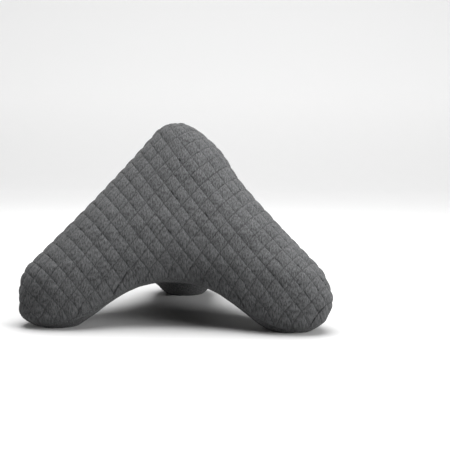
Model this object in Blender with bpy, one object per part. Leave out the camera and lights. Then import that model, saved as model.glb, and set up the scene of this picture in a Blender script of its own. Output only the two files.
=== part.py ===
"""A pillow that stands on three legs, filled, in a diamond-quilted cover.

Metres, +Z up. The pillow faces -Y: its front panel lies between the left leg (-X) and the right
leg (+X), and the third leg runs back to +Y. The floor is z = 0 and the origin is under the middle
of the pillow's box.
"""
import math

import bmesh
import bpy
import numpy as np
from mathutils import Matrix, Vector
from mathutils.kdtree import KDTree

# Filled form: the crown and the three feet are round, and straight cores join their centres.
CROWN_CORE = (-0.003, 0.015, 0.320)
CROWN_RADIUS = 0.079
FOOT_RADIUS = 0.084
FOOT_CORE_HEIGHT = 0.075
WAIST_SWELL = 0.0255
BODY_HEIGHT = 0.408
BODY_FLOOR = -0.0093
FLOOR_SINK = 0.026

# Where each leg goes, seen from above: the turn from +X and the reach of its core.
LEGS = (
    {"name": "left", "turn_deg": 209.8, "reach": 0.265},
    {"name": "right", "turn_deg": 330.8, "reach": 0.274},
    {"name": "rear", "turn_deg": 91.9, "reach": 0.289},
)

# The arches between the legs, and the hollow where they meet.
SOLE_RADIUS = 0.048
ARCH_SPAN = 0.241
ARCH_RISE = 0.0995
ARCH_POWER = 2.34
HOLLOW_RISE = 0.043
ARCH_ROUNDING = {"floor": 0.053, "top": 0.100, "reached_at": 0.107}
SOLE_STEEPNESS = 3.0
UNDERSIDE_SCALE = 0.8
FEET_BLEND = 6.0

# The crown slumps to the right, which makes a soft shoulder there.
SHOULDER_HEIGHT = 0.355
SHOULDER_SPREAD = 0.047
SHOULDER_PUSH = 0.016
SHOULDER_START = 0.026
SHOULDER_SOFTNESS = 0.017

# Diamond quilting: two families of stitch lines on each flat panel, which is then rolled on.
STITCH_LINES = (
    {"name": "falling", "pitch": 0.0271, "normal_deg": 38.1, "offset": -0.0031},
    {"name": "rising", "pitch": 0.0304, "normal_deg": -36.1, "offset": 0.0076},
)
STITCH_DEPTH = 0.0025
PUFF_HEIGHT = 0.0030
SEAM_DEPTH = 0.0020
ROLL_RADIUS = 0.085
ROLL_PASSES = 14
SHORTEST_EDGE = 0.0035
ON_LINE = 1e-4
DIAMOND_INSET = 0.0055
WHOLE_DIAMOND = 4.0e-4
QUILT_END = -0.75
QUILT_FADE = 0.5

# Cage that the form is laid on.
CAGE_SEGMENTS = 36
CAGE_RINGS = 23
PANEL_RINGS = 12
CAGE_CENTRE = (0.0, 0.0, 0.165)
CAGE_REACH = 0.7
LEG_CROWDING = 0.45
PANEL_EDGE_DEG = {"web": 109.0, "leg": 118.0}
PANELS = len(LEGS)
UNDERSIDE = PANELS
UNDERSIDE_CROWDING = 1.7

# How closely points are worked out.
HALVINGS = 30
PROJECTIONS = 4
GRADIENT_STEP = 1e-4
LEAST_STEEPNESS = 0.2
CUT_TOLERANCE = 1e-5
ON_FLOOR = 1e-4
TINY = 1e-6

COVER_COLOUR = (0.075, 0.077, 0.079, 1.0)
COVER_ROUGHNESS = 0.92


def clear_scene():
    """Remove what the scene holds, so that the script can be run again."""
    for existing in list(bpy.data.objects):
        bpy.data.objects.remove(existing, do_unlink=True)


def leg_cores():
    """Centres of the three round feet."""
    cores = []
    for leg in LEGS:
        turn = math.radians(leg["turn_deg"])
        cores.append((leg["reach"] * math.cos(turn), leg["reach"] * math.sin(turn), FOOT_CORE_HEIGHT))
    return np.array(cores)


def panel_normals():
    """Outward normals of the front, right and left panels, each between two legs."""
    left, right, rear = leg_cores()
    crown = np.array(CROWN_CORE)
    normals = []
    for start, end in ((left, right), (right, rear), (rear, left)):
        normal = np.cross(end - start, crown - start)
        normals.append(normal / np.linalg.norm(normal))
    return np.array(normals)


def round_meet(distances, radius):
    """Join half-spaces along edges that are rounded to a radius."""
    beyond = [np.maximum(distance + radius, 0.0) for distance in distances]
    corner = np.sqrt(sum(step * step for step in beyond))
    return np.minimum(np.maximum.reduce(distances), -radius) + corner


def filled_form(points):
    """Distance of each point from the smooth filled form, negative inside."""
    x, y, z = points[:, 0], points[:, 1], points[:, 2]
    slump = SHOULDER_PUSH * np.exp(-(((z - SHOULDER_HEIGHT) / SHOULDER_SPREAD) ** 2))
    x = x - slump / (1.0 + np.exp(-(x - SHOULDER_START) / SHOULDER_SOFTNESS))
    placed = np.stack([x, y, z], axis=1)

    rise = np.clip((z - BODY_FLOOR) / BODY_HEIGHT, 0.0, 1.0)
    waist = WAIST_SWELL * 4.0 * rise * (1.0 - rise)
    ends = FOOT_RADIUS + (CROWN_RADIUS - FOOT_RADIUS) * rise
    walls = [(placed - np.array(CROWN_CORE)) @ normal - ends for normal in panel_normals()]
    walls.append(-(z + FLOOR_SINK))
    outside = round_meet(walls, ends + waist)

    gaps = [np.hypot(x - core[0], y - core[1]) + TINY for core in leg_cores()]
    nearest = sum(gap ** -FEET_BLEND for gap in gaps) ** (-1.0 / FEET_BLEND)
    along = (nearest - SOLE_RADIUS) / (ARCH_SPAN - SOLE_RADIUS)
    climb = 1.0 - (1.0 - np.clip(along, 0.0, 1.0)) ** ARCH_POWER
    roof = BODY_FLOOR + ARCH_RISE * climb + HOLLOW_RISE * np.maximum(along - 1.0, 0.0)
    roof = np.where(along < 0.0, BODY_FLOOR + SOLE_STEEPNESS * ARCH_RISE * along, roof)
    share = np.clip((z - BODY_FLOOR) / ARCH_ROUNDING["reached_at"], 0.0, 1.0)
    rounding = ARCH_ROUNDING["floor"] + (ARCH_ROUNDING["top"] - ARCH_ROUNDING["floor"]) * share
    return round_meet([outside, UNDERSIDE_SCALE * (roof - z)], rounding)


def form_gradient(points):
    """Direction in which the distance from the form grows, and how fast."""
    columns = []
    for axis in np.eye(3) * GRADIENT_STEP:
        columns.append((filled_form(points + axis) - filled_form(points - axis)) / (2.0 * GRADIENT_STEP))
    return np.stack(columns, axis=1)


def laid_on_form(points):
    """Move points near the form onto it, along its own normals."""
    for _ in range(PROJECTIONS):
        gradient = form_gradient(points)
        reach = filled_form(points) / np.maximum((gradient ** 2).sum(axis=1), LEAST_STEEPNESS)
        points = points - gradient * reach[:, None]
    return points


def cage_directions(bm):
    """Turn a sphere's rings and columns so that they follow the legs and the arch edges."""
    turns = [math.radians(leg["turn_deg"]) for leg in LEGS]
    order = sorted(turns)
    spans = [(order[i], (order[(i + 1) % PANELS] - order[i]) % math.tau) for i in range(PANELS)]
    columns_per_panel = CAGE_SEGMENTS // PANELS
    directions = {}
    rings = {}
    for vert in bm.verts:
        polar = math.acos(max(-1.0, min(1.0, vert.co.z)))
        ring = round(polar / math.pi * CAGE_RINGS)
        column = round((math.atan2(vert.co.y, vert.co.x) % math.tau) / math.tau * CAGE_SEGMENTS)
        panel, place = divmod(column % CAGE_SEGMENTS, columns_per_panel)
        share = place / columns_per_panel
        share -= LEG_CROWDING * math.sin(math.tau * share) / math.tau
        start, span = spans[panel]
        azimuth = start + share * span
        lean = 0.5 - 0.5 * math.cos(math.tau * share)
        edge = math.radians(PANEL_EDGE_DEG["leg"] * (1.0 - lean) + PANEL_EDGE_DEG["web"] * lean)
        if ring <= PANEL_RINGS:
            polar = edge * ring / PANEL_RINGS
        else:
            share = (ring - PANEL_RINGS) / (CAGE_RINGS - PANEL_RINGS)
            polar = edge + (math.pi - edge) * share ** UNDERSIDE_CROWDING
        directions[vert] = (math.sin(polar) * math.cos(azimuth), math.sin(polar) * math.sin(azimuth),
                            math.cos(polar))
        rings[vert] = ring
    return directions, rings


def form_cage():
    """A sphere's mesh laid on the filled form, with its panels marked."""
    bm = bmesh.new()
    bmesh.ops.create_uvsphere(bm, u_segments=CAGE_SEGMENTS, v_segments=CAGE_RINGS, radius=1.0)
    directions, rings = cage_directions(bm)
    verts = list(bm.verts)
    rays = np.array([directions[vert] for vert in verts])
    near = np.zeros(len(verts))
    far = np.full(len(verts), CAGE_REACH)
    for _ in range(HALVINGS):
        middle = 0.5 * (near + far)
        inside = filled_form(np.array(CAGE_CENTRE) + rays * middle[:, None]) < 0.0
        near = np.where(inside, middle, near)
        far = np.where(inside, far, middle)
    for vert, ray, reach in zip(verts, rays, near):
        vert.co = Vector(CAGE_CENTRE) + Vector(ray) * reach

    panel_of = bm.faces.layers.int.new("panel")
    outward = [Vector((normal[0], normal[1], 0.0)) for normal in panel_normals()]
    for face in bm.faces:
        if max(rings[vert] for vert in face.verts) > PANEL_RINGS:
            face[panel_of] = UNDERSIDE
            continue
        middle = face.calc_center_median() - Vector(CAGE_CENTRE)
        level = Vector((middle.x, middle.y, 0.0))
        face[panel_of] = max(range(PANELS), key=lambda k: level.dot(outward[k]))
    return bm, panel_of


def panel_frame(panel):
    """The panel's origin on the crown's core, its level axis, its upward axis and its normal."""
    normal = panel_normals()[panel]
    level = np.cross((0.0, 0.0, 1.0), normal)
    level /= np.linalg.norm(level)
    return np.array(CROWN_CORE), level, np.cross(normal, level), normal


def stitch_normals(panel):
    """For each stitch family of a panel: its plane normal, its pitch and its offset."""
    _, level, upward, _ = panel_frame(panel)
    for family in STITCH_LINES:
        angle = math.radians(family["normal_deg"])
        yield level * math.cos(angle) + upward * math.sin(angle), family["pitch"], family["offset"]


def outward_normals(points):
    """Unit normals of the filled form at points on it."""
    gradient = form_gradient(points)
    return gradient / np.linalg.norm(gradient, axis=1)[:, None]


def flat_pattern(points, panel):
    """Where points on the form lie on the flat panel, before it is rolled round the filling."""
    origin, _, _, normal = panel_frame(panel)
    outward = outward_normals(points)
    turn = np.arccos(np.clip(outward @ normal, -1.0, 1.0))
    sideways = outward - (outward @ normal)[:, None] * normal
    sideways /= np.maximum(np.linalg.norm(sideways, axis=1), TINY)[:, None]
    flat = points - ((points - origin) @ normal)[:, None] * normal
    return flat + sideways * (ROLL_RADIUS * (turn - np.sin(turn)))[:, None]


def rolled_on(flat, points, panel):
    """Points on the form that the flat panel's points come to, from a first guess near them."""
    normal = panel_frame(panel)[3]
    points = laid_on_form(points)
    for _ in range(ROLL_PASSES):
        outward = outward_normals(points)
        facing = np.clip(outward @ normal, -1.0, 1.0)
        sideways = outward - facing[:, None] * normal
        steepness = np.linalg.norm(sideways, axis=1)
        sideways /= np.maximum(steepness, TINY)[:, None]
        missing = flat - flat_pattern(points, panel)
        across = (missing * sideways).sum(axis=1)
        along = missing - sideways * across[:, None]
        downhill = sideways * facing[:, None] - normal * steepness[:, None]
        points = laid_on_form(points + along + downhill * across[:, None])
    return points


def panel_parts(bm, panel, panel_of):
    """A panel's faces, edges and points."""
    faces = [face for face in bm.faces if face[panel_of] == panel]
    edges = list({edge for face in faces for edge in face.edges})
    verts = list({vert for face in faces for vert in face.verts})
    return faces, edges, verts


def cut_stitch_lines(bm, panel, panel_of):
    """Cut a flat panel along its stitch lines."""
    origin = panel_frame(panel)[0]
    for normal, pitch, offset in stitch_normals(panel):
        verts = panel_parts(bm, panel, panel_of)[2]
        places = [(np.array(vert.co) - origin) @ normal - offset for vert in verts]
        for line in range(math.ceil(min(places) / pitch), math.floor(max(places) / pitch) + 1):
            faces, edges, verts = panel_parts(bm, panel, panel_of)
            bmesh.ops.bisect_plane(bm, geom=verts + edges + faces, dist=CUT_TOLERANCE,
                                   plane_co=Vector(origin + normal * (line * pitch + offset)),
                                   plane_no=Vector(normal))


def clear_cage_edges(bm, panel, panel_of):
    """Leave only stitch lines and seams on a flat panel, so that each diamond is one face."""
    origin = panel_frame(panel)[0]
    families = list(stitch_normals(panel))
    loose = []
    for edge in panel_parts(bm, panel, panel_of)[1]:
        if any(face[panel_of] != panel for face in edge.link_faces):
            continue
        stitched = False
        for normal, pitch, offset in families:
            places = [((np.array(vert.co) - origin) @ normal - offset) / pitch for vert in edge.verts]
            line = round(places[0])
            stitched |= max(abs(place - line) for place in places) * pitch < ON_LINE
        if not stitched:
            loose.append(edge)
    bmesh.ops.dissolve_edges(bm, edges=loose, use_verts=True)
    bmesh.ops.remove_doubles(bm, verts=panel_parts(bm, panel, panel_of)[2], dist=SHORTEST_EDGE)


def split_diamonds(bm, panel, panel_of):
    """Give each diamond of a flat panel an inner ring and a middle point."""
    diamonds = panel_parts(bm, panel, panel_of)[0]
    whole = [face for face in diamonds if face.calc_area() > WHOLE_DIAMOND]
    bmesh.ops.inset_individual(bm, faces=whole, thickness=DIAMOND_INSET, use_even_offset=True)
    bmesh.ops.poke(bm, faces=diamonds, center_mode="MEAN_WEIGHTED")


def puff(flat, panel):
    """How full the quilting is at each flat point: 0 on a stitch line, 1 amid a diamond."""
    origin = panel_frame(panel)[0]
    fullness = np.ones(len(flat))
    for normal, pitch, offset in stitch_normals(panel):
        fullness *= np.abs(np.sin(math.pi * ((flat - origin) @ normal - offset) / pitch))
    return np.sqrt(fullness)


def quilt_panel(bm, panel, panel_of, lift_of):
    """Lay a panel flat, cut its diamonds, and roll it back on the filling."""
    verts = panel_parts(bm, panel, panel_of)[2]
    places = [vert.co.copy() for vert in verts]
    flat = flat_pattern(np.array(places), panel)
    nearby = KDTree(len(verts))
    for index, vert in enumerate(verts):
        vert.co = Vector(flat[index])
        nearby.insert(vert.co, index)
    nearby.balance()

    cut_stitch_lines(bm, panel, panel_of)
    clear_cage_edges(bm, panel, panel_of)
    split_diamonds(bm, panel, panel_of)

    verts = panel_parts(bm, panel, panel_of)[2]
    flat = np.array([vert.co for vert in verts])
    guesses = np.array([places[nearby.find(vert.co)[1]] for vert in verts])
    rolled = rolled_on(flat, guesses, panel)
    for vert, place, fullness in zip(verts, rolled, puff(flat, panel)):
        vert.co = Vector(place)
        vert[lift_of] = (PUFF_HEIGHT + STITCH_DEPTH) * fullness - STITCH_DEPTH


def raise_quilting(bm, panel_of, lift_of):
    """Raise each diamond's middle, and sink its stitch lines and the seams between panels."""
    verts = list(bm.verts)
    points = laid_on_form(np.array([vert.co for vert in verts]))
    outward = outward_normals(points)
    for vert, place, normal in zip(verts, points, outward):
        panels = {face[panel_of] for face in vert.link_faces}
        lift = vert[lift_of] * min(1.0, max(0.0, (normal[2] - QUILT_END) / QUILT_FADE))
        if len(panels) > 1:
            lift = -SEAM_DEPTH
        elif UNDERSIDE in panels:
            lift = 0.0
        vert.co = Vector(place + normal * lift)


def press_on_floor(bm):
    """Cut the feet flat at the floor, and close the three soles."""
    geometry = list(bm.verts) + list(bm.edges) + list(bm.faces)
    cut = bmesh.ops.bisect_plane(bm, geom=geometry, dist=CUT_TOLERANCE, clear_outer=True,
                                 plane_co=Vector((0.0, 0.0, 0.0)), plane_no=Vector((0.0, 0.0, -1.0)))
    rim = [item for item in cut["geom_cut"] if isinstance(item, bmesh.types.BMEdge)]
    bmesh.ops.holes_fill(bm, edges=rim, sides=0)
    for vert in bm.verts:
        if abs(vert.co.z) < ON_FLOOR:
            vert.co.z = 0.0


def centre_on_box(bm):
    """Put the origin on the floor under the middle of the pillow's box."""
    low = Vector([min(vert.co[axis] for vert in bm.verts) for axis in range(3)])
    high = Vector([max(vert.co[axis] for vert in bm.verts) for axis in range(3)])
    middle = (low + high) / 2.0
    bmesh.ops.transform(bm, matrix=Matrix.Translation((-middle.x, -middle.y, 0.0)), verts=list(bm.verts))


def cover_material():
    """Charcoal knit."""
    material = bpy.data.materials.new("charcoal_knit")
    material.use_nodes = True
    shader = material.node_tree.nodes["Principled BSDF"]
    shader.inputs["Base Color"].default_value = COVER_COLOUR
    shader.inputs["Roughness"].default_value = COVER_ROUGHNESS
    shader.inputs["Metallic"].default_value = 0.0
    return material


def build_pillow():
    """The filled pillow as one closed solid."""
    bm, panel_of = form_cage()
    lift_of = bm.verts.layers.float.new("lift")
    for panel in range(PANELS):
        quilt_panel(bm, panel, panel_of, lift_of)
    raise_quilting(bm, panel_of, lift_of)
    press_on_floor(bm)
    bmesh.ops.triangulate(bm, faces=list(bm.faces))
    bmesh.ops.recalc_face_normals(bm, faces=list(bm.faces))
    centre_on_box(bm)
    mesh = bpy.data.meshes.new("pillow")
    bm.to_mesh(mesh)
    bm.free()
    mesh.shade_smooth()
    mesh.materials.append(cover_material())
    return bpy.data.objects.new("pillow", mesh)


def main():
    """Build the pillow in a collection of its own."""
    clear_scene()
    collection = bpy.data.collections.new("three_legged_pillow")
    bpy.context.scene.collection.children.link(collection)
    collection.objects.link(build_pillow())


main()
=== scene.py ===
"""Looks of a filled pillow that stands on three legs, in a charcoal diamond-quilted knit cover.

Metres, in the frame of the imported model: +Z up, the front panel towards -Y and the floor at z = 0.
The filled body is a smooth form that keeps a small part of a cloth simulation's swell; the sewn
channels, the seams and their puckers are then worked into its surface, and the knit is procedural.
"""
import logging
import math
from dataclasses import dataclass, field
from enum import Enum
from typing import Dict, List, Sequence, Tuple

import bmesh
import bpy
import numpy as np
from mathutils import Matrix, Vector


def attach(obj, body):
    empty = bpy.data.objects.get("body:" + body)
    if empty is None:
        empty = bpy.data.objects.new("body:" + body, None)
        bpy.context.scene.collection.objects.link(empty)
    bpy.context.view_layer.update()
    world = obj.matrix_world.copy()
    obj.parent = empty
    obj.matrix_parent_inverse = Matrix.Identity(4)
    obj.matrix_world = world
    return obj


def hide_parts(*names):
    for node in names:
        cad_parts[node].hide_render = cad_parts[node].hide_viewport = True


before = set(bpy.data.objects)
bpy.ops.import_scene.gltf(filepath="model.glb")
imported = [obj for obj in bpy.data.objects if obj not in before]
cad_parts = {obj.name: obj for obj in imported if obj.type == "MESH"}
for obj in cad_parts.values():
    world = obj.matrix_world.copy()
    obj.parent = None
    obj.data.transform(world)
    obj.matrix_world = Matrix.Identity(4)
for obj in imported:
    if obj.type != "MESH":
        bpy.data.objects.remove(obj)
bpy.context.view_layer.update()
LOG = logging.getLogger("pillow")

TINY = 1e-6
FLAT_UV = "flat_panel"
STITCH_UV = "stitch_count"
Vec3 = Tuple[float, float, float]


class Panel(Enum):
    """Pieces of the sewn cover."""

    FRONT = 0
    RIGHT = 1
    LEFT = 2
    UNDERSIDE = 3


QUILTED = (Panel.FRONT, Panel.RIGHT, Panel.LEFT)


@dataclass(frozen=True)
class Leg:
    """Core of one round foot, seen from above."""

    turn_deg: float
    reach: float
    tuck: float
    spread: float
    height: float = 0.075

    def heading(self) -> np.ndarray:
        """Level direction in which the leg goes."""
        turn = math.radians(self.turn_deg)
        return np.array((math.cos(turn), math.sin(turn)))

    def core(self) -> np.ndarray:
        """Centre of the round foot, from the point where the legs meet."""
        return np.append(self.reach * self.heading(), self.height)


def round_meet(distances: Sequence[np.ndarray], radius: np.ndarray) -> np.ndarray:
    """Join half-spaces along edges that are rounded.

    Args:
        distances: Distance of each point from each half-space.
        radius: Rounding radius, one value for each point or one for all.

    Returns:
        Distance of each point from the joined solid, negative inside.
    """
    beyond = [np.maximum(distance + radius, 0.0) for distance in distances]
    corner = np.sqrt(sum(step * step for step in beyond))
    return np.minimum(np.maximum.reduce(distances), -radius) + corner


@dataclass(frozen=True)
class FilledForm:
    """Smooth form of the filled pillow, without its quilting.

    The crown and the feet are round, straight cores join their centres, and arches are cut
    between the legs. Its own sizes are measured from the point where the legs meet, and middle
    is where the pillow's box has its middle, seen from there.
    """

    middle: Vec3 = (0.0064, 0.0833, 0.0)
    legs: Tuple[Leg, Leg, Leg] = (
        Leg(209.8, 0.265, tuck=0.008, spread=0.010),
        Leg(330.8, 0.274, tuck=0.0, spread=0.008),
        Leg(91.9, 0.289, tuck=0.003, spread=0.006))
    crown_core: Vec3 = (-0.003, 0.015, 0.320)
    crown_radius: float = 0.079
    foot_radius: float = 0.084
    waist_swell: float = 0.0255
    body_height: float = 0.408
    body_floor: float = -0.0093
    floor_sink: float = 0.026
    sole_radius: float = 0.048
    sole_steepness: float = 3.0
    arch_span: float = 0.241
    arch_rise: float = 0.0995
    arch_power: float = 2.34
    hollow_rise: float = 0.043
    floor_rounding: float = 0.053
    top_rounding: float = 0.100
    top_rounding_height: float = 0.107
    underside_scale: float = 0.8
    toe_tuck_height: float = 0.062
    toe_tuck_reach: float = 0.030
    toe_spread_height: float = 0.016
    toe_spread_reach: float = 0.018
    toe_start: float = 0.05
    feet_blend: float = 6.0
    shoulder_height: float = 0.355
    shoulder_spread: float = 0.047
    shoulder_push: float = 0.016
    shoulder_start: float = 0.026
    shoulder_softness: float = 0.017
    gradient_step: float = 1e-4
    least_steepness: float = 0.2
    projections: int = 4

    def origin(self) -> np.ndarray:
        """The crown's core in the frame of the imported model."""
        return np.array(self.crown_core) - np.array(self.middle)

    def panel_normals(self) -> np.ndarray:
        """Outward normals of the front, right and left panels."""
        left, right, rear = (leg.core() for leg in self.legs)
        crown = np.array(self.crown_core)
        spans = ((left, right), (right, rear), (rear, left))
        normals = [np.cross(end - start, crown - start) for start, end in spans]
        return np.array([normal / np.linalg.norm(normal) for normal in normals])

    def slumped(self, points: np.ndarray) -> np.ndarray:
        """Points seen from the meeting of the legs, without the crown's slump and the toes' roundness."""
        placed = points + np.array(self.middle)
        x, z = placed[:, 0], placed[:, 2]
        slump = self.shoulder_push * np.exp(-(((z - self.shoulder_height) / self.shoulder_spread) ** 2))
        placed[:, 0] = x - slump / (1.0 + np.exp(-(x - self.shoulder_start) / self.shoulder_softness))
        tucked = np.exp(-(((z - self.toe_tuck_height) / self.toe_tuck_reach) ** 2))
        spread = np.exp(-(((z - self.toe_spread_height) / self.toe_spread_reach) ** 2))
        for leg in self.legs:
            beyond = (placed[:, :2] - leg.core()[:2]) @ leg.heading()
            push = (leg.spread * spread - leg.tuck * tucked) * np.clip(beyond / self.toe_start, 0.0, 1.0)
            placed[:, :2] -= push[:, None] * leg.heading()
        return placed

    def distance(self, points: np.ndarray) -> np.ndarray:
        """Distance of each point from the form's surface.

        Args:
            points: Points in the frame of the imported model.

        Returns:
            One distance for each point, negative inside.
        """
        placed = self.slumped(points)
        x, y, z = placed.T
        rise = np.clip((z - self.body_floor) / self.body_height, 0.0, 1.0)
        waist = self.waist_swell * 4.0 * rise * (1.0 - rise)
        ends = self.foot_radius + (self.crown_radius - self.foot_radius) * rise
        walls = [(placed - np.array(self.crown_core)) @ normal - ends for normal in self.panel_normals()]
        walls.append(-(z + self.floor_sink))
        outside = round_meet(walls, ends + waist)

        gaps = [np.hypot(x - leg.core()[0], y - leg.core()[1]) + TINY for leg in self.legs]
        nearest = sum(gap ** -self.feet_blend for gap in gaps) ** (-1.0 / self.feet_blend)
        along = (nearest - self.sole_radius) / (self.arch_span - self.sole_radius)
        climb = 1.0 - (1.0 - np.clip(along, 0.0, 1.0)) ** self.arch_power
        roof = self.body_floor + self.arch_rise * climb + self.hollow_rise * np.maximum(along - 1.0, 0.0)
        sole = self.body_floor + self.sole_steepness * self.arch_rise * along
        roof = np.where(along < 0.0, sole, roof)
        share = np.clip((z - self.body_floor) / self.top_rounding_height, 0.0, 1.0)
        rounding = self.floor_rounding + (self.top_rounding - self.floor_rounding) * share
        return round_meet([outside, self.underside_scale * (roof - z)], rounding)

    def gradient(self, points: np.ndarray) -> np.ndarray:
        """Direction in which the distance grows, and how fast."""
        columns = []
        for step in np.eye(3) * self.gradient_step:
            grown = self.distance(points + step) - self.distance(points - step)
            columns.append(grown / (2.0 * self.gradient_step))
        return np.stack(columns, axis=1)

    def outward(self, points: np.ndarray) -> np.ndarray:
        """Unit normals of the form at points near it."""
        gradient = self.gradient(points)
        return gradient / np.linalg.norm(gradient, axis=1)[:, None]

    def laid_on(self, points: np.ndarray) -> np.ndarray:
        """Move points near the form onto it, along its own normals."""
        for _ in range(self.projections):
            gradient = self.gradient(points)
            reach = self.distance(points) / np.maximum((gradient ** 2).sum(axis=1), self.least_steepness)
            points = points - gradient * reach[:, None]
        return points


@dataclass(frozen=True)
class CoverCut:
    """How the cover is cut: three panels that meet on ridges down the legs, and one underside."""

    form: FilledForm
    centre: Vec3 = (0.0, 0.0, 0.165)
    web_edge_deg: float = 122.0
    leg_edge_deg: float = 118.0
    front_wrap: float = 0.045
    roll_radius: float = 0.085
    plain_start_deg: float = 47.0
    plain_end_deg: float = 82.0

    def from_centre(self, points: np.ndarray) -> np.ndarray:
        """Points seen from the centre from which the cover's seams are laid out."""
        return points + np.array(self.form.middle) - np.array(self.centre)

    def edge_gap(self, points: np.ndarray) -> np.ndarray:
        """Distance of points from the seam round the underside, negative above it."""
        seen = self.from_centre(points)
        azimuth = np.arctan2(seen[:, 1], seen[:, 0])
        turns = sorted(math.radians(leg.turn_deg) for leg in self.form.legs)
        lean = np.zeros(len(points))
        for start, end in zip(turns, turns[1:] + [turns[0] + math.tau]):
            share = ((azimuth - start) % math.tau) / (end - start)
            lean = np.where(share <= 1.0, 0.5 - 0.5 * np.cos(math.tau * share), lean)
        edge = np.radians(self.leg_edge_deg * (1.0 - lean) + self.web_edge_deg * lean)
        reach = np.linalg.norm(seen, axis=1)
        polar = np.arccos(np.clip(seen[:, 2] / np.maximum(reach, TINY), -1.0, 1.0))
        return (polar - edge) * reach

    def facing(self, points: np.ndarray) -> np.ndarray:
        """How far points lie towards each quilted panel; the front one wraps round both its legs."""
        level = self.form.panel_normals()[:, :2]
        level /= np.linalg.norm(level, axis=1)[:, None]
        return self.from_centre(points)[:, :2] @ level.T + np.array((self.front_wrap, 0.0, 0.0))

    def ridge_gap(self, points: np.ndarray) -> np.ndarray:
        """Distance of points from the nearest seam that runs down a leg."""
        ranked = np.sort(self.facing(points), axis=1)
        return (ranked[:, 2] - ranked[:, 1]) / math.sqrt(3.0)

    def panel_of(self, points: np.ndarray) -> np.ndarray:
        """Number of the panel that covers each point."""
        nearest = np.argmax(self.facing(points), axis=1)
        return np.where(self.edge_gap(points) > 0.0, Panel.UNDERSIDE.value, nearest)

    def flat(self, points: np.ndarray, panel: Panel) -> np.ndarray:
        """Where points lie on a flat panel, before it is rolled round the filling.

        Args:
            points: Points on the filled form.
            panel: The panel to lay flat.

        Returns:
            Level and upward metres from the crown's core, one row for each point.
        """
        if panel is Panel.UNDERSIDE:
            return points[:, :2].copy()
        normal = self.form.panel_normals()[panel.value]
        level = np.cross((0.0, 0.0, 1.0), normal)
        level /= np.linalg.norm(level)
        upward = np.cross(normal, level)
        outward = self.form.outward(points)
        facing = outward @ normal
        turn = np.arccos(np.clip(facing, -1.0, 1.0))
        sideways = outward - facing[:, None] * normal
        sideways /= np.maximum(np.linalg.norm(sideways, axis=1), TINY)[:, None]
        start, end = math.radians(self.plain_start_deg), math.radians(self.plain_end_deg)
        spare = turn - np.sin(turn)
        spare = np.minimum(spare, start - math.sin(start)) + np.maximum(spare - (end - math.sin(end)), 0.0)
        unrolled = points - self.form.origin() + sideways * (self.roll_radius * spare)[:, None]
        return np.stack([unrolled @ level, unrolled @ upward], axis=1)


@dataclass(frozen=True)
class StitchFamily:
    """Stitch lines that run side by side on a flat panel.

    The lines lie where count() is whole. bows holds how many pitches a line is out of a straight
    row at bow_reach from the crown's core, by the powers of the level and the upward distance.
    """

    pitch: float
    normal_deg: float
    offset: float
    bows: Dict[Tuple[int, int], float]
    bow_reach: float = 0.2

    def count(self, flat: np.ndarray, panel: Panel) -> np.ndarray:
        """Number of lines between the crown's core and each flat point."""
        angle = math.radians(self.normal_deg)
        lines = (flat @ np.array((math.cos(angle), math.sin(angle))) - self.offset) / self.pitch
        level, upward = (flat / self.bow_reach).T
        for (level_power, upward_power), bow in self.bows.items():
            lines = lines + bow * level ** level_power * upward ** upward_power
        return lines + PANEL_SHIFT[panel]


# Share of a pitch by which each panel's quilting is out of line with the front panel's.
PANEL_SHIFT = {Panel.FRONT: 0.0, Panel.RIGHT: 0.35, Panel.LEFT: 0.6, Panel.UNDERSIDE: 0.0}

# Steps of the sine that gives each diamond its own chance value, the same in each run.
CHANCE_STEPS = (12.9898, 78.233)
CHANCE_PANEL_STEP = 37.719
CHANCE_SPREAD = 43758.5453


@dataclass(frozen=True)
class Quilting:
    """Diamond quilting: sewn channels in two directions, and the puffs between them."""

    falling: StitchFamily = StitchFamily(
        pitch=0.0267, normal_deg=33.5, offset=-0.0045,
        bows={(2, 0): 0.37, (1, 1): 0.62, (0, 2): -0.41,
              (3, 0): -0.13, (2, 1): 0.20, (1, 2): 0.30, (0, 3): -0.09})
    rising: StitchFamily = StitchFamily(
        pitch=0.0288, normal_deg=-43.4, offset=0.0155,
        bows={(2, 0): -0.29, (1, 1): -0.20, (0, 2): -1.12,
              (3, 0): 0.08, (2, 1): -0.16, (0, 3): -0.39})
    puff: float = 0.0022
    puff_power: float = 0.75
    puff_spread: float = 0.25
    sink: float = 0.0010
    groove: float = 0.0004
    groove_width: float = 0.0018
    end: float = -0.75
    fade: float = 0.5

    def counts(self, flat: np.ndarray, panel: Panel) -> np.ndarray:
        """Line counts of both families at flat points, one column for each family."""
        return np.stack([family.count(flat, panel) for family in (self.falling, self.rising)], axis=1)

    def fullness(self, counts: np.ndarray, panel: Panel) -> np.ndarray:
        """How full each diamond was stuffed, about 1, the same for all points of one diamond."""
        seed = np.floor(counts) @ np.array(CHANCE_STEPS) + panel.value * CHANCE_PANEL_STEP
        chance = np.abs(np.sin(seed) * CHANCE_SPREAD) % 1.0
        return 1.0 + self.puff_spread * (chance - 0.5)

    def relief(self, counts: np.ndarray, panel: Panel) -> np.ndarray:
        """Height of the quilted surface over the plain filled one.

        Args:
            counts: Line counts from counts().
            panel: The panel that the points are on.

        Returns:
            Metres, one value for each point.
        """
        waves = np.abs(np.sin(math.pi * counts))
        dome = (waves[:, 0] * waves[:, 1]) ** self.puff_power
        gaps = np.abs(counts - np.round(counts)) * np.array((self.falling.pitch, self.rising.pitch))
        groove = np.exp(-((gaps.min(axis=1) / self.groove_width) ** 2))
        return self.puff * self.fullness(counts, panel) * dome - self.sink - self.groove * groove


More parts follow.
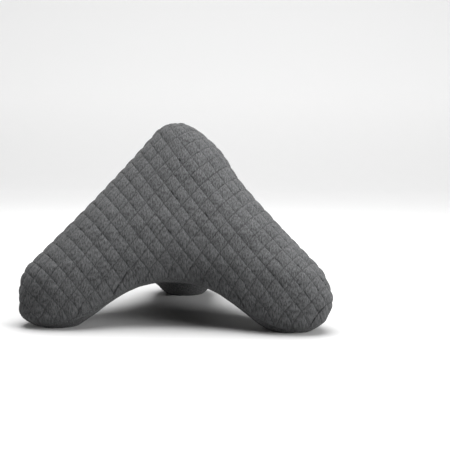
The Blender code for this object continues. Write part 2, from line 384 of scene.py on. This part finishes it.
@dataclass(frozen=True)
class SeamShape:
    """Drawn-in seams and the puckers beside them."""

    depth: float = 0.0016
    width: float = 0.0030
    pucker_height: float = 0.0004
    pucker_pitch: float = 0.0115
    pucker_reach: float = 0.010
    drift: float = 2.0
    drift_pitches: float = 3.7

    def relief(self, gap: np.ndarray, along: np.ndarray) -> np.ndarray:
        """Height that a seam adds to the surface beside it.

        Args:
            gap: Distance of each point from the seam.
            along: Distance of each point along the seam.

        Returns:
            Metres, one value for each point.
        """
        valley = -self.depth * np.exp(-((gap / self.width) ** 2))
        drift = self.drift * np.sin(along / (self.drift_pitches * self.pucker_pitch))
        wave = np.sin(math.tau * along / self.pucker_pitch + drift)
        return valley + self.pucker_height * wave * np.exp(-((gap / self.pucker_reach) ** 2))


def mesh_points(mesh: bpy.types.Mesh) -> np.ndarray:
    """Places of a mesh's points, one row each."""
    places = np.empty(len(mesh.vertices) * 3)
    mesh.vertices.foreach_get("co", places)
    return places.reshape(-1, 3)


def set_mesh_points(mesh: bpy.types.Mesh, places: np.ndarray) -> None:
    """Move a mesh's points to new places."""
    mesh.vertices.foreach_set("co", np.ascontiguousarray(places, dtype=np.float32).ravel())
    mesh.update()


def make_active(piece: bpy.types.Object) -> None:
    """Select one object alone and make it the active one."""
    bpy.ops.object.select_all(action="DESELECT")
    piece.select_set(True)
    bpy.context.view_layer.objects.active = piece


@dataclass
class QuiltedPillow:
    """The filled pillow in its sewn cover, as one padded piece."""

    form: FilledForm = field(default_factory=FilledForm)
    quilting: Quilting = field(default_factory=Quilting)
    seams: SeamShape = field(default_factory=SeamShape)
    node: str = "pillow"
    voxel: float = 0.0066
    weld: float = 1e-5
    relax_passes: int = 6
    relax_share: float = 0.5
    slack: float = 0.0035
    pressure: float = 4.0
    frames: int = 20
    swell_share: float = 0.4
    most_swell: float = 0.0015
    floor_hold: float = 0.002
    snap_reach: float = 0.0013
    snap_passes: int = 4
    fill: float = 0.85

    def __post_init__(self) -> None:
        """Lay out the cover on the form."""
        self.cut = CoverCut(self.form)

    def build(self) -> bpy.types.Object:
        """Returns:
            The finished piece.
        """
        piece = self.filled_body()
        self.swell(piece)
        self.subdivide(piece)
        on_line = self.snap_to_stitches(piece)
        self.split_along_stitches(piece, on_line)
        self.unroll_panels(piece)
        self.sew(piece)
        make_active(piece)
        bpy.ops.object.shade_smooth()
        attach(piece, "root")
        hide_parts(self.node)
        return piece

    def filled_body(self) -> bpy.types.Object:
        """An even mesh on the smooth filled form, a little slack for the filling to swell."""
        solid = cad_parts[self.node]
        piece = bpy.data.objects.new("quilted_pillow", solid.data.copy())
        piece.data.name = "quilted_pillow"
        piece.data.materials.clear()
        bpy.context.scene.collection.objects.link(piece)
        make_active(piece)
        bpy.ops.object.mode_set(mode="EDIT")
        bpy.ops.mesh.select_all(action="SELECT")
        bpy.ops.mesh.remove_doubles(threshold=self.weld)
        bpy.ops.object.mode_set(mode="OBJECT")
        remesh = piece.modifiers.new("even_mesh", "REMESH")
        remesh.mode = "VOXEL"
        remesh.voxel_size = self.voxel
        bpy.ops.object.modifier_apply(modifier=remesh.name)

        mesh = piece.data
        ends = np.empty(len(mesh.edges) * 2, dtype=np.int64)
        mesh.edges.foreach_get("vertices", ends)
        ends = ends.reshape(-1, 2)
        points = mesh_points(mesh)
        count = np.bincount(ends.ravel(), minlength=len(points))[:, None]
        for _ in range(self.relax_passes):
            total = np.zeros_like(points)
            np.add.at(total, ends[:, 0], points[ends[:, 1]])
            np.add.at(total, ends[:, 1], points[ends[:, 0]])
            points += self.relax_share * (total / count - points)
            points = self.form.laid_on(points)
        slack = self.slack
        points -= self.form.outward(points) * slack
        points[:, 2] = np.maximum(points[:, 2], 0.0)
        set_mesh_points(mesh, points)
        return piece

    def swell(self, piece: bpy.types.Object) -> None:
        """Blow the slack body up with cloth simulation, and keep a small part of its swell."""
        mesh = piece.data
        slack = mesh_points(mesh)
        held = piece.vertex_groups.new(name="pressed_on_floor")
        held.add([int(index) for index in np.nonzero(slack[:, 2] < self.floor_hold)[0]], 1.0, "REPLACE")
        cloth = piece.modifiers.new("filling", "CLOTH")
        cloth.settings.use_pressure = True
        cloth.settings.uniform_pressure_force = self.pressure
        cloth.settings.effector_weights.gravity = 0.0
        cloth.settings.vertex_group_mass = held.name
        cloth.collision_settings.use_collision = False
        cloth.point_cache.frame_start = 1
        cloth.point_cache.frame_end = self.frames
        scene = bpy.context.scene
        for number in range(1, self.frames + 1):
            scene.frame_set(number)
        swollen = mesh_points(piece.evaluated_get(bpy.context.evaluated_depsgraph_get()).data)
        make_active(piece)
        bpy.ops.object.modifier_apply(modifier=cloth.name)
        piece.vertex_groups.clear()
        swell = self.form.distance(swollen)
        LOG.info("swell: mean %.2f mm, spread %.2f mm", swell.mean() * 1000, swell.std() * 1000)
        swell = np.clip(self.swell_share * (swell - swell.mean()), -self.most_swell, self.most_swell)
        points = self.form.laid_on(swollen)
        points += self.form.outward(points) * swell[:, None]
        points[:, 2] = np.maximum(points[:, 2], 0.0)
        set_mesh_points(mesh, points)
        scene.frame_set(1)

    def subdivide(self, piece: bpy.types.Object) -> None:
        """Give the body enough points for its sewn channels."""
        make_active(piece)
        finer = piece.modifiers.new("finer", "SUBSURF")
        finer.levels = 1
        finer.render_levels = 1
        bpy.ops.object.modifier_apply(modifier=finer.name)

    def panel_counts(self, points: np.ndarray, panel: Panel) -> np.ndarray:
        """Stitch line counts of points as seen on one panel."""
        return self.quilting.counts(self.cut.flat(points, panel), panel)

    def snap_to_stitches(self, piece: bpy.types.Object) -> np.ndarray:
        """Slide points that are near a stitch line onto it.

        Returns:
            For each point and stitch family the number of the line that it lies on, or NaN.
        """
        points = mesh_points(piece.data)
        panels = self.cut.panel_of(points)
        pitches = np.array((self.quilting.falling.pitch, self.quilting.rising.pitch))
        on_line = np.full((len(points), 2), np.nan)
        step = self.form.gradient_step
        for panel in QUILTED:
            mine = np.nonzero(panels == panel.value)[0]
            spots = points[mine]
            counts = self.panel_counts(spots, panel)
            near = np.abs(counts - np.round(counts)) * pitches < self.snap_reach
            lines = np.where(near, np.round(counts), np.nan)
            columns = []
            for axis in np.eye(3) * step:
                grown = self.panel_counts(spots + axis, panel) - self.panel_counts(spots - axis, panel)
                columns.append(grown / (2.0 * step))
            slopes = np.stack(columns, axis=2)
            outward = self.form.outward(spots)
            across = (slopes * outward[:, None, :]).sum(axis=2)
            slopes -= across[:, :, None] * outward[:, None, :]
            for turn in range(self.snap_passes):
                family = turn % 2
                slope = slopes[:, family]
                missing = np.nan_to_num(lines[:, family] - self.panel_counts(spots, panel)[:, family])
                spots = spots + slope * (missing / np.maximum((slope ** 2).sum(axis=1), TINY))[:, None]
            points[mine] = spots
            on_line[mine] = lines
        set_mesh_points(piece.data, points)
        return on_line

    def split_along_stitches(self, piece: bpy.types.Object, on_line: np.ndarray) -> None:
        """Split each quad that a stitch line crosses from corner to corner along that line."""
        bm = bmesh.new()
        bm.from_mesh(piece.data)
        bm.verts.ensure_lookup_table()
        for face in list(bm.faces):
            if len(face.verts) != 4:
                continue
            corners = list(face.verts)
            for first, second in ((0, 2), (1, 3)):
                ends = on_line[corners[first].index], on_line[corners[second].index]
                if (ends[0] == ends[1]).any():
                    bmesh.utils.face_split(face, corners[first], corners[second])
                    break
        bm.to_mesh(piece.data)
        bm.free()

    def unroll_panels(self, piece: bpy.types.Object) -> None:
        """Give every face corner its place on its flat panel and its stitch line counts."""
        mesh = piece.data
        points = mesh_points(mesh)
        corners = np.empty(len(mesh.loops), dtype=np.int64)
        mesh.loops.foreach_get("vertex_index", corners)
        totals = np.empty(len(mesh.polygons), dtype=np.int64)
        mesh.polygons.foreach_get("loop_total", totals)
        centres = np.empty(len(mesh.polygons) * 3)
        mesh.polygons.foreach_get("center", centres)
        panels = np.repeat(self.cut.panel_of(centres.reshape(-1, 3)), totals)
        flat = np.zeros((len(corners), 2))
        counts = np.full((len(corners), 2), 0.5)
        for panel in Panel:
            mine = panels == panel.value
            spread = self.cut.flat(points, panel)
            flat[mine] = spread[corners[mine]]
            if panel in QUILTED:
                counts[mine] = self.quilting.counts(spread, panel)[corners[mine]]
        for name, values in ((FLAT_UV, flat), (STITCH_UV, counts)):
            layer = mesh.uv_layers.new(name=name)
            layer.uv.foreach_set("vector", values.astype(np.float32).ravel())

    def sew(self, piece: bpy.types.Object) -> None:
        """Raise the puffs, sink the sewn channels and draw in the seams."""
        points = mesh_points(piece.data)
        panels = self.cut.panel_of(points)
        outward = self.form.outward(points)
        lift = np.zeros(len(points))
        for panel in QUILTED:
            mine = panels == panel.value
            lift[mine] = self.quilting.relief(self.panel_counts(points[mine], panel), panel)
        lift *= np.clip((outward[:, 2] - self.quilting.end) / self.quilting.fade, 0.0, 1.0)
        seen = self.cut.from_centre(points)
        ridge = self.cut.ridge_gap(points)
        edge = self.cut.edge_gap(points)
        above = edge < 0.0
        lift += np.where(above, self.seams.relief(ridge, np.linalg.norm(seen, axis=1)), 0.0)
        around = np.arctan2(seen[:, 1], seen[:, 0]) * np.hypot(seen[:, 0], seen[:, 1])
        lift += self.seams.relief(edge, around)
        points = points + outward * lift[:, None]
        points[:, 2] = np.maximum(points[:, 2], 0.0)
        set_mesh_points(piece.data, points)


class Nodes:
    """Short calls that add shader nodes and join them."""

    def __init__(self, material: bpy.types.Material) -> None:
        """Start with an empty node tree."""
        material.use_nodes = True
        self.tree = material.node_tree
        self.tree.nodes.clear()

    def add(self, kind: str, **settings) -> bpy.types.Node:
        """Add a node and set its own properties."""
        node = self.tree.nodes.new(kind)
        for name, value in settings.items():
            setattr(node, name, value)
        return node

    def feed(self, socket: bpy.types.NodeSocket, value) -> None:
        """Join a socket to an output, or set its value."""
        if isinstance(value, bpy.types.NodeSocket):
            self.tree.links.new(value, socket)
        else:
            socket.default_value = value

    def math(self, operation: str, first, second=0.0, third=0.0) -> bpy.types.NodeSocket:
        """Add a math node and return its output."""
        node = self.add("ShaderNodeMath", operation=operation)
        for socket, value in zip(node.inputs, (first, second, third)):
            self.feed(socket, value)
        return node.outputs[0]

    def smooth(self, value, start: float, end: float) -> bpy.types.NodeSocket:
        """0 at start and 1 at end, eased between them."""
        node = self.add("ShaderNodeMapRange", interpolation_type="SMOOTHSTEP")
        self.feed(node.inputs["Value"], value)
        node.inputs["From Min"].default_value = start
        node.inputs["From Max"].default_value = end
        return node.outputs["Result"]

    def blend(self, share, first, second) -> bpy.types.NodeSocket:
        """Mix two colours."""
        node = self.add("ShaderNodeMix", data_type="RGBA")
        self.feed(node.inputs["Factor"], share)
        self.feed(node.inputs["A"], first)
        self.feed(node.inputs["B"], second)
        return node.outputs["Result"]

    def noise(self, vector, scale: float, detail: float, roughness: float) -> bpy.types.NodeSocket:
        """Add a noise texture and return its value, 0 to 1."""
        node = self.add("ShaderNodeTexNoise")
        self.feed(node.inputs["Vector"], vector)
        node.inputs["Scale"].default_value = scale
        node.inputs["Detail"].default_value = detail
        node.inputs["Roughness"].default_value = roughness
        return node.outputs["Fac"]

    def stretched(self, vector, scale: Vec3) -> bpy.types.NodeSocket:
        """Scale a coordinate."""
        node = self.add("ShaderNodeMapping")
        self.feed(node.inputs["Vector"], vector)
        node.inputs["Scale"].default_value = scale
        return node.outputs["Vector"]


@dataclass(frozen=True)
class HeatheredKnit:
    """Charcoal knit of dark and light fibres, with lines of quilting stitches, and painted shade that
    darkens the bottom of its sewn channels.
    """

    quilting: Quilting
    dark: Tuple[float, float, float, float] = (0.025, 0.0255, 0.0262, 1.0)
    light: Tuple[float, float, float, float] = (0.130, 0.132, 0.135, 1.0)
    thread: Tuple[float, float, float, float] = (0.020, 0.021, 0.022, 1.0)
    roughness: float = 0.93
    sheen: float = 0.05
    sheen_roughness: float = 0.45
    specular: float = 0.25
    wale: float = 0.0016
    course: float = 0.0013
    loop_slant: float = 1.2
    row_share: float = 0.3
    fleck_width: float = 0.0026
    fleck_length: float = 0.0070
    fleck_share: float = 1.6
    fleck_start: float = 0.50
    speck_size: float = 0.0011
    speck_share: float = 0.7
    tone_scale: float = 22.0
    tone_share: float = 0.3
    fuzz_scale: float = 900.0
    loop_height: float = 0.00012
    fuzz_height: float = 0.00012
    channel_depth: float = 0.0003
    channel_width: float = 0.0018
    channel_core: float = 0.0002
    # Share by which the colour is darkened in the bottom of the sewn channels: painted shade for the recess.
    channel_painted_shade: float = 0.25
    stitch_length: float = 0.0032
    stitch_gap: Tuple[float, float] = (0.44, 0.36)
    thread_width: float = 0.00035
    thread_core: float = 0.0001
    thread_height: float = 0.00025

    def material(self) -> bpy.types.Material:
        """Build the material.

        Returns:
            A material that reads the piece's two UV maps.
        """
        material = bpy.data.materials.new("heathered_charcoal_knit")
        nodes = Nodes(material)
        flat = nodes.add("ShaderNodeUVMap", uv_map=FLAT_UV).outputs["UV"]
        channel, stitches = self.stitch_lines(nodes)
        loops = self.knit_loops(nodes, flat)
        heather = self.heather(nodes, flat)
        colour = nodes.blend(heather, self.dark, self.light)
        # Painted shade: the knit's colour is darkened in the bottom of each sewn channel, where shade falls
        # in the recess.
        shade = nodes.math("MULTIPLY_ADD", channel, -self.channel_painted_shade, 1.0)
        shaded = nodes.add("ShaderNodeVectorMath", operation="SCALE")
        nodes.feed(shaded.inputs[0], colour)
        nodes.feed(shaded.inputs["Scale"], shade)
        colour = nodes.blend(stitches, shaded.outputs["Vector"], self.thread)

        fuzz = nodes.noise(flat, self.fuzz_scale, 3.0, 0.7)
        height = nodes.math("MULTIPLY", loops, self.loop_height)
        height = nodes.math("MULTIPLY_ADD", fuzz, self.fuzz_height, height)
        height = nodes.math("MULTIPLY_ADD", channel, -self.channel_depth, height)
        height = nodes.math("MULTIPLY_ADD", stitches, self.thread_height, height)
        bump = nodes.add("ShaderNodeBump")
        bump.inputs["Distance"].default_value = 1.0
        nodes.feed(bump.inputs["Height"], height)

        shader = nodes.add("ShaderNodeBsdfPrincipled")
        nodes.feed(shader.inputs["Base Color"], colour)
        shader.inputs["Roughness"].default_value = self.roughness
        shader.inputs["Specular IOR Level"].default_value = self.specular
        shader.inputs["Sheen Weight"].default_value = self.sheen
        shader.inputs["Sheen Roughness"].default_value = self.sheen_roughness
        nodes.feed(shader.inputs["Normal"], bump.outputs["Normal"])
        output = nodes.add("ShaderNodeOutputMaterial")
        nodes.feed(output.inputs["Surface"], shader.outputs["BSDF"])
        return material

    def heather(self, nodes: Nodes, flat: bpy.types.NodeSocket) -> bpy.types.NodeSocket:
        """Share of light fibres: short flecks along the wales, and slow changes of tone."""
        drawn_out = nodes.stretched(flat, (1.0 / self.fleck_width, 1.0 / self.fleck_length, 1.0))
        flecks = nodes.noise(drawn_out, 1.0, 2.0, 0.6)
        specks = nodes.noise(flat, 1.0 / self.speck_size, 2.0, 0.6)
        tone = nodes.noise(flat, self.tone_scale, 2.0, 0.5)
        share = nodes.math("MULTIPLY_ADD", flecks, self.fleck_share, -self.fleck_start)
        for layer, weight in ((specks, self.speck_share), (tone, self.tone_share)):
            share = nodes.math("MULTIPLY_ADD", layer, weight, nodes.math("SUBTRACT", share, weight / 2.0))
        return nodes.math("MINIMUM", nodes.math("MAXIMUM", share, 0.0), 1.0)

    def knit_loops(self, nodes: Nodes, flat: bpy.types.NodeSocket) -> bpy.types.NodeSocket:
        """Height of the knit's loops, 0 to 1: columns of small V shapes."""
        parts = nodes.add("ShaderNodeSeparateXYZ")
        nodes.feed(parts.inputs[0], flat)
        across = nodes.math("MULTIPLY", parts.outputs["X"], 1.0 / self.wale)
        aside = nodes.math("ABSOLUTE", nodes.math("SUBTRACT", nodes.math("FRACT", across), 0.5))
        slant = nodes.math("MULTIPLY", aside, self.loop_slant)
        up = nodes.math("MULTIPLY_ADD", parts.outputs["Y"], 1.0 / self.course, slant)
        row = nodes.math("SINE", nodes.math("MULTIPLY", up, math.tau))
        leg = nodes.math("SINE", nodes.math("MULTIPLY", aside, math.tau))
        rows = nodes.math("MULTIPLY_ADD", row, self.row_share, 1.0 - self.row_share)
        return nodes.math("MULTIPLY", rows, leg)

    def stitch_lines(self, nodes: Nodes) -> Tuple[bpy.types.NodeSocket, bpy.types.NodeSocket]:
        """The sewn channels and the thread in them.

        Returns:
            A mask that is 1 in the bottom of a channel, and a mask of the stitches.
        """
        counts = nodes.add("ShaderNodeUVMap", uv_map=STITCH_UV).outputs["UV"]
        parts = nodes.add("ShaderNodeSeparateXYZ")
        nodes.feed(parts.inputs[0], counts)
        pitches = (self.quilting.falling.pitch, self.quilting.rising.pitch)
        channels: List[bpy.types.NodeSocket] = []
        threads: List[bpy.types.NodeSocket] = []
        for family in range(2):
            count, other = parts.outputs[family], parts.outputs[1 - family]
            off = nodes.math("SUBTRACT", nodes.math("FRACT", nodes.math("ADD", count, 0.5)), 0.5)
            gap = nodes.math("MULTIPLY", nodes.math("ABSOLUTE", off), pitches[family])
            channels.append(nodes.smooth(gap, self.channel_width, self.channel_core))
            steps = round(pitches[1 - family] / self.stitch_length)
            place = nodes.math("FRACT", nodes.math("MULTIPLY", other, float(steps)))
            dash = nodes.smooth(nodes.math("ABSOLUTE", nodes.math("SUBTRACT", place, 0.5)), *self.stitch_gap)
            thread = nodes.smooth(gap, self.thread_width, self.thread_core)
            threads.append(nodes.math("MULTIPLY", thread, dash))
        return nodes.math("MAXIMUM", *channels), nodes.math("MAXIMUM", *threads)


@dataclass(frozen=True)
class SoftLight:
    """A square studio light that faces the pillow."""

    name: str
    place: Vec3
    size: float
    watts: float

    def hang(self, aim: Vector) -> None:
        """Put the light in the scene, turned towards a point."""
        light = bpy.data.lights.new(self.name, "AREA")
        light.shape = "SQUARE"
        light.size = self.size
        light.energy = self.watts
        lamp = bpy.data.objects.new(self.name, light)
        bpy.context.scene.collection.objects.link(lamp)
        lamp.location = self.place
        lamp.rotation_euler = (aim - Vector(self.place)).to_track_quat("-Z", "Y").to_euler()


@dataclass
class Studio:
    """Pale floor and backdrop, soft lights, and the camera at the photograph's angle."""

    form: FilledForm
    yaw_deg: float = 5.93
    elevation_deg: float = 5.54
    camera_distance: float = 2.204
    aim_height: float = 0.194
    focal_px: float = 1030.0
    image_px: int = 450
    aim_px: float = 176.7
    sensor_mm: float = 36.0
    floor_half: float = 4.0
    backdrop_turn: float = 0.6
    backdrop_height: float = 3.0
    floor_colour: Tuple[float, float, float, float] = (0.44, 0.44, 0.44, 1.0)
    glow: float = 0.56
    glow_start: float = 0.25
    glow_end: float = 0.95
    floor_roughness: float = 0.7
    backdrop_steps: int = 12
    surroundings: float = 0.04
    light_aim_height: float = 0.15
    soft_lights: Tuple[SoftLight, ...] = (
        SoftLight("overhead", (0.0, 0.1, 2.5), 2.4, 165.0),
        SoftLight("over_front", (0.3, -0.8, 2.4), 1.5, 8.0),
        SoftLight("right_side", (2.0, -1.2, 0.9), 1.2, 58.0))

    def build(self) -> None:
        """Set the stage."""
        self.sweep()
        self.lights()
        self.camera()
        bpy.context.scene.view_settings.view_transform = "Standard"

    def sweep(self) -> None:
        """Floor that curves up into a backdrop."""
        bpy.ops.object.select_all(action="DESELECT")
        bpy.ops.mesh.primitive_plane_add(size=2.0 * self.floor_half, location=(0.0, 0.0, 0.0))
        floor = bpy.context.object
        floor.name = "studio_floor"
        bpy.ops.object.mode_set(mode="EDIT")
        bpy.ops.mesh.select_all(action="DESELECT")
        bpy.ops.object.mode_set(mode="OBJECT")
        for edge in floor.data.edges:
            ends = [floor.data.vertices[index].co.y for index in edge.vertices]
            edge.select = min(ends) > 0.0
        bpy.ops.object.mode_set(mode="EDIT")
        bpy.ops.mesh.select_mode(type="EDGE")
        for number in range(self.backdrop_steps):
            turn = (number + 0.5) / self.backdrop_steps * math.pi / 2.0
            length = self.backdrop_turn * math.pi / 2.0 / self.backdrop_steps
            bpy.ops.mesh.extrude_region_move(TRANSFORM_OT_translate={
                "value": (0.0, length * math.cos(turn), length * math.sin(turn))})
        bpy.ops.mesh.extrude_region_move(TRANSFORM_OT_translate={"value": (0.0, 0.0, self.backdrop_height)})
        bpy.ops.object.mode_set(mode="OBJECT")
        bpy.ops.object.shade_smooth()
        floor.data.materials.append(self.pale_paper())

    def pale_paper(self) -> bpy.types.Material:
        """Grey-white paper that glows white away from the pillow."""
        material = bpy.data.materials.new("pale_paper")
        nodes = Nodes(material)
        shader = nodes.add("ShaderNodeBsdfPrincipled")
        shader.inputs["Base Color"].default_value = self.floor_colour
        shader.inputs["Roughness"].default_value = self.floor_roughness
        shader.inputs["Emission Color"].default_value = (1.0, 1.0, 1.0, 1.0)
        place = nodes.add("ShaderNodeTexCoord").outputs["Object"]
        reach = nodes.add("ShaderNodeVectorMath", operation="LENGTH")
        nodes.feed(reach.inputs[0], place)
        far = nodes.smooth(reach.outputs["Value"], self.glow_start, self.glow_end)
        nodes.feed(shader.inputs["Emission Strength"], nodes.math("MULTIPLY", far, self.glow))
        output = nodes.add("ShaderNodeOutputMaterial")
        nodes.feed(output.inputs["Surface"], shader.outputs["BSDF"])
        return material

    def lights(self) -> None:
        """Two large soft lights overhead, one low at the right, and dim surroundings."""
        world = bpy.data.worlds.new("studio")
        bpy.context.scene.world = world
        world.use_nodes = True
        background = world.node_tree.nodes["Background"]
        background.inputs["Color"].default_value = (1.0, 1.0, 1.0, 1.0)
        background.inputs["Strength"].default_value = self.surroundings
        for light in self.soft_lights:
            light.hang(Vector((0.0, 0.0, self.light_aim_height)))

    def camera(self) -> None:
        """Camera at the photograph's viewing angle."""
        yaw = math.radians(self.yaw_deg)
        elevation = math.radians(self.elevation_deg)
        level = math.cos(elevation)
        back = Vector((math.sin(yaw) * level, -math.cos(yaw) * level, math.sin(elevation)))
        right = Vector((math.cos(yaw), math.sin(yaw), 0.0))
        up = back.cross(right)
        aim = Vector((0.0, 0.0, self.aim_height)) - Vector(self.form.middle)
        lens = bpy.data.cameras.new("photo_view")
        lens.sensor_width = self.sensor_mm
        lens.lens = self.focal_px / self.image_px * self.sensor_mm
        lens.shift_x = (self.image_px / 2.0 - self.aim_px) / self.image_px
        camera = bpy.data.objects.new("photo_view", lens)
        bpy.context.scene.collection.objects.link(camera)
        turned = Matrix((right, up, back)).transposed().to_4x4()
        camera.matrix_world = Matrix.Translation(aim + back * self.camera_distance) @ turned
        bpy.context.scene.camera = camera


def main() -> None:
    """Build the studio and the pillow."""
    logging.basicConfig(level=logging.INFO, format="%(name)s: %(message)s")
    pillow = QuiltedPillow()
    Studio(pillow.form).build()
    LOG.info("studio is set")
    piece = pillow.build()
    piece.data.materials.append(HeatheredKnit(pillow.quilting).material())
    faces = piece.data.polygons
    LOG.info("%s: %d triangles", piece.name, sum(face.loop_total - 2 for face in faces))


if __name__ == "__main__":
    main()
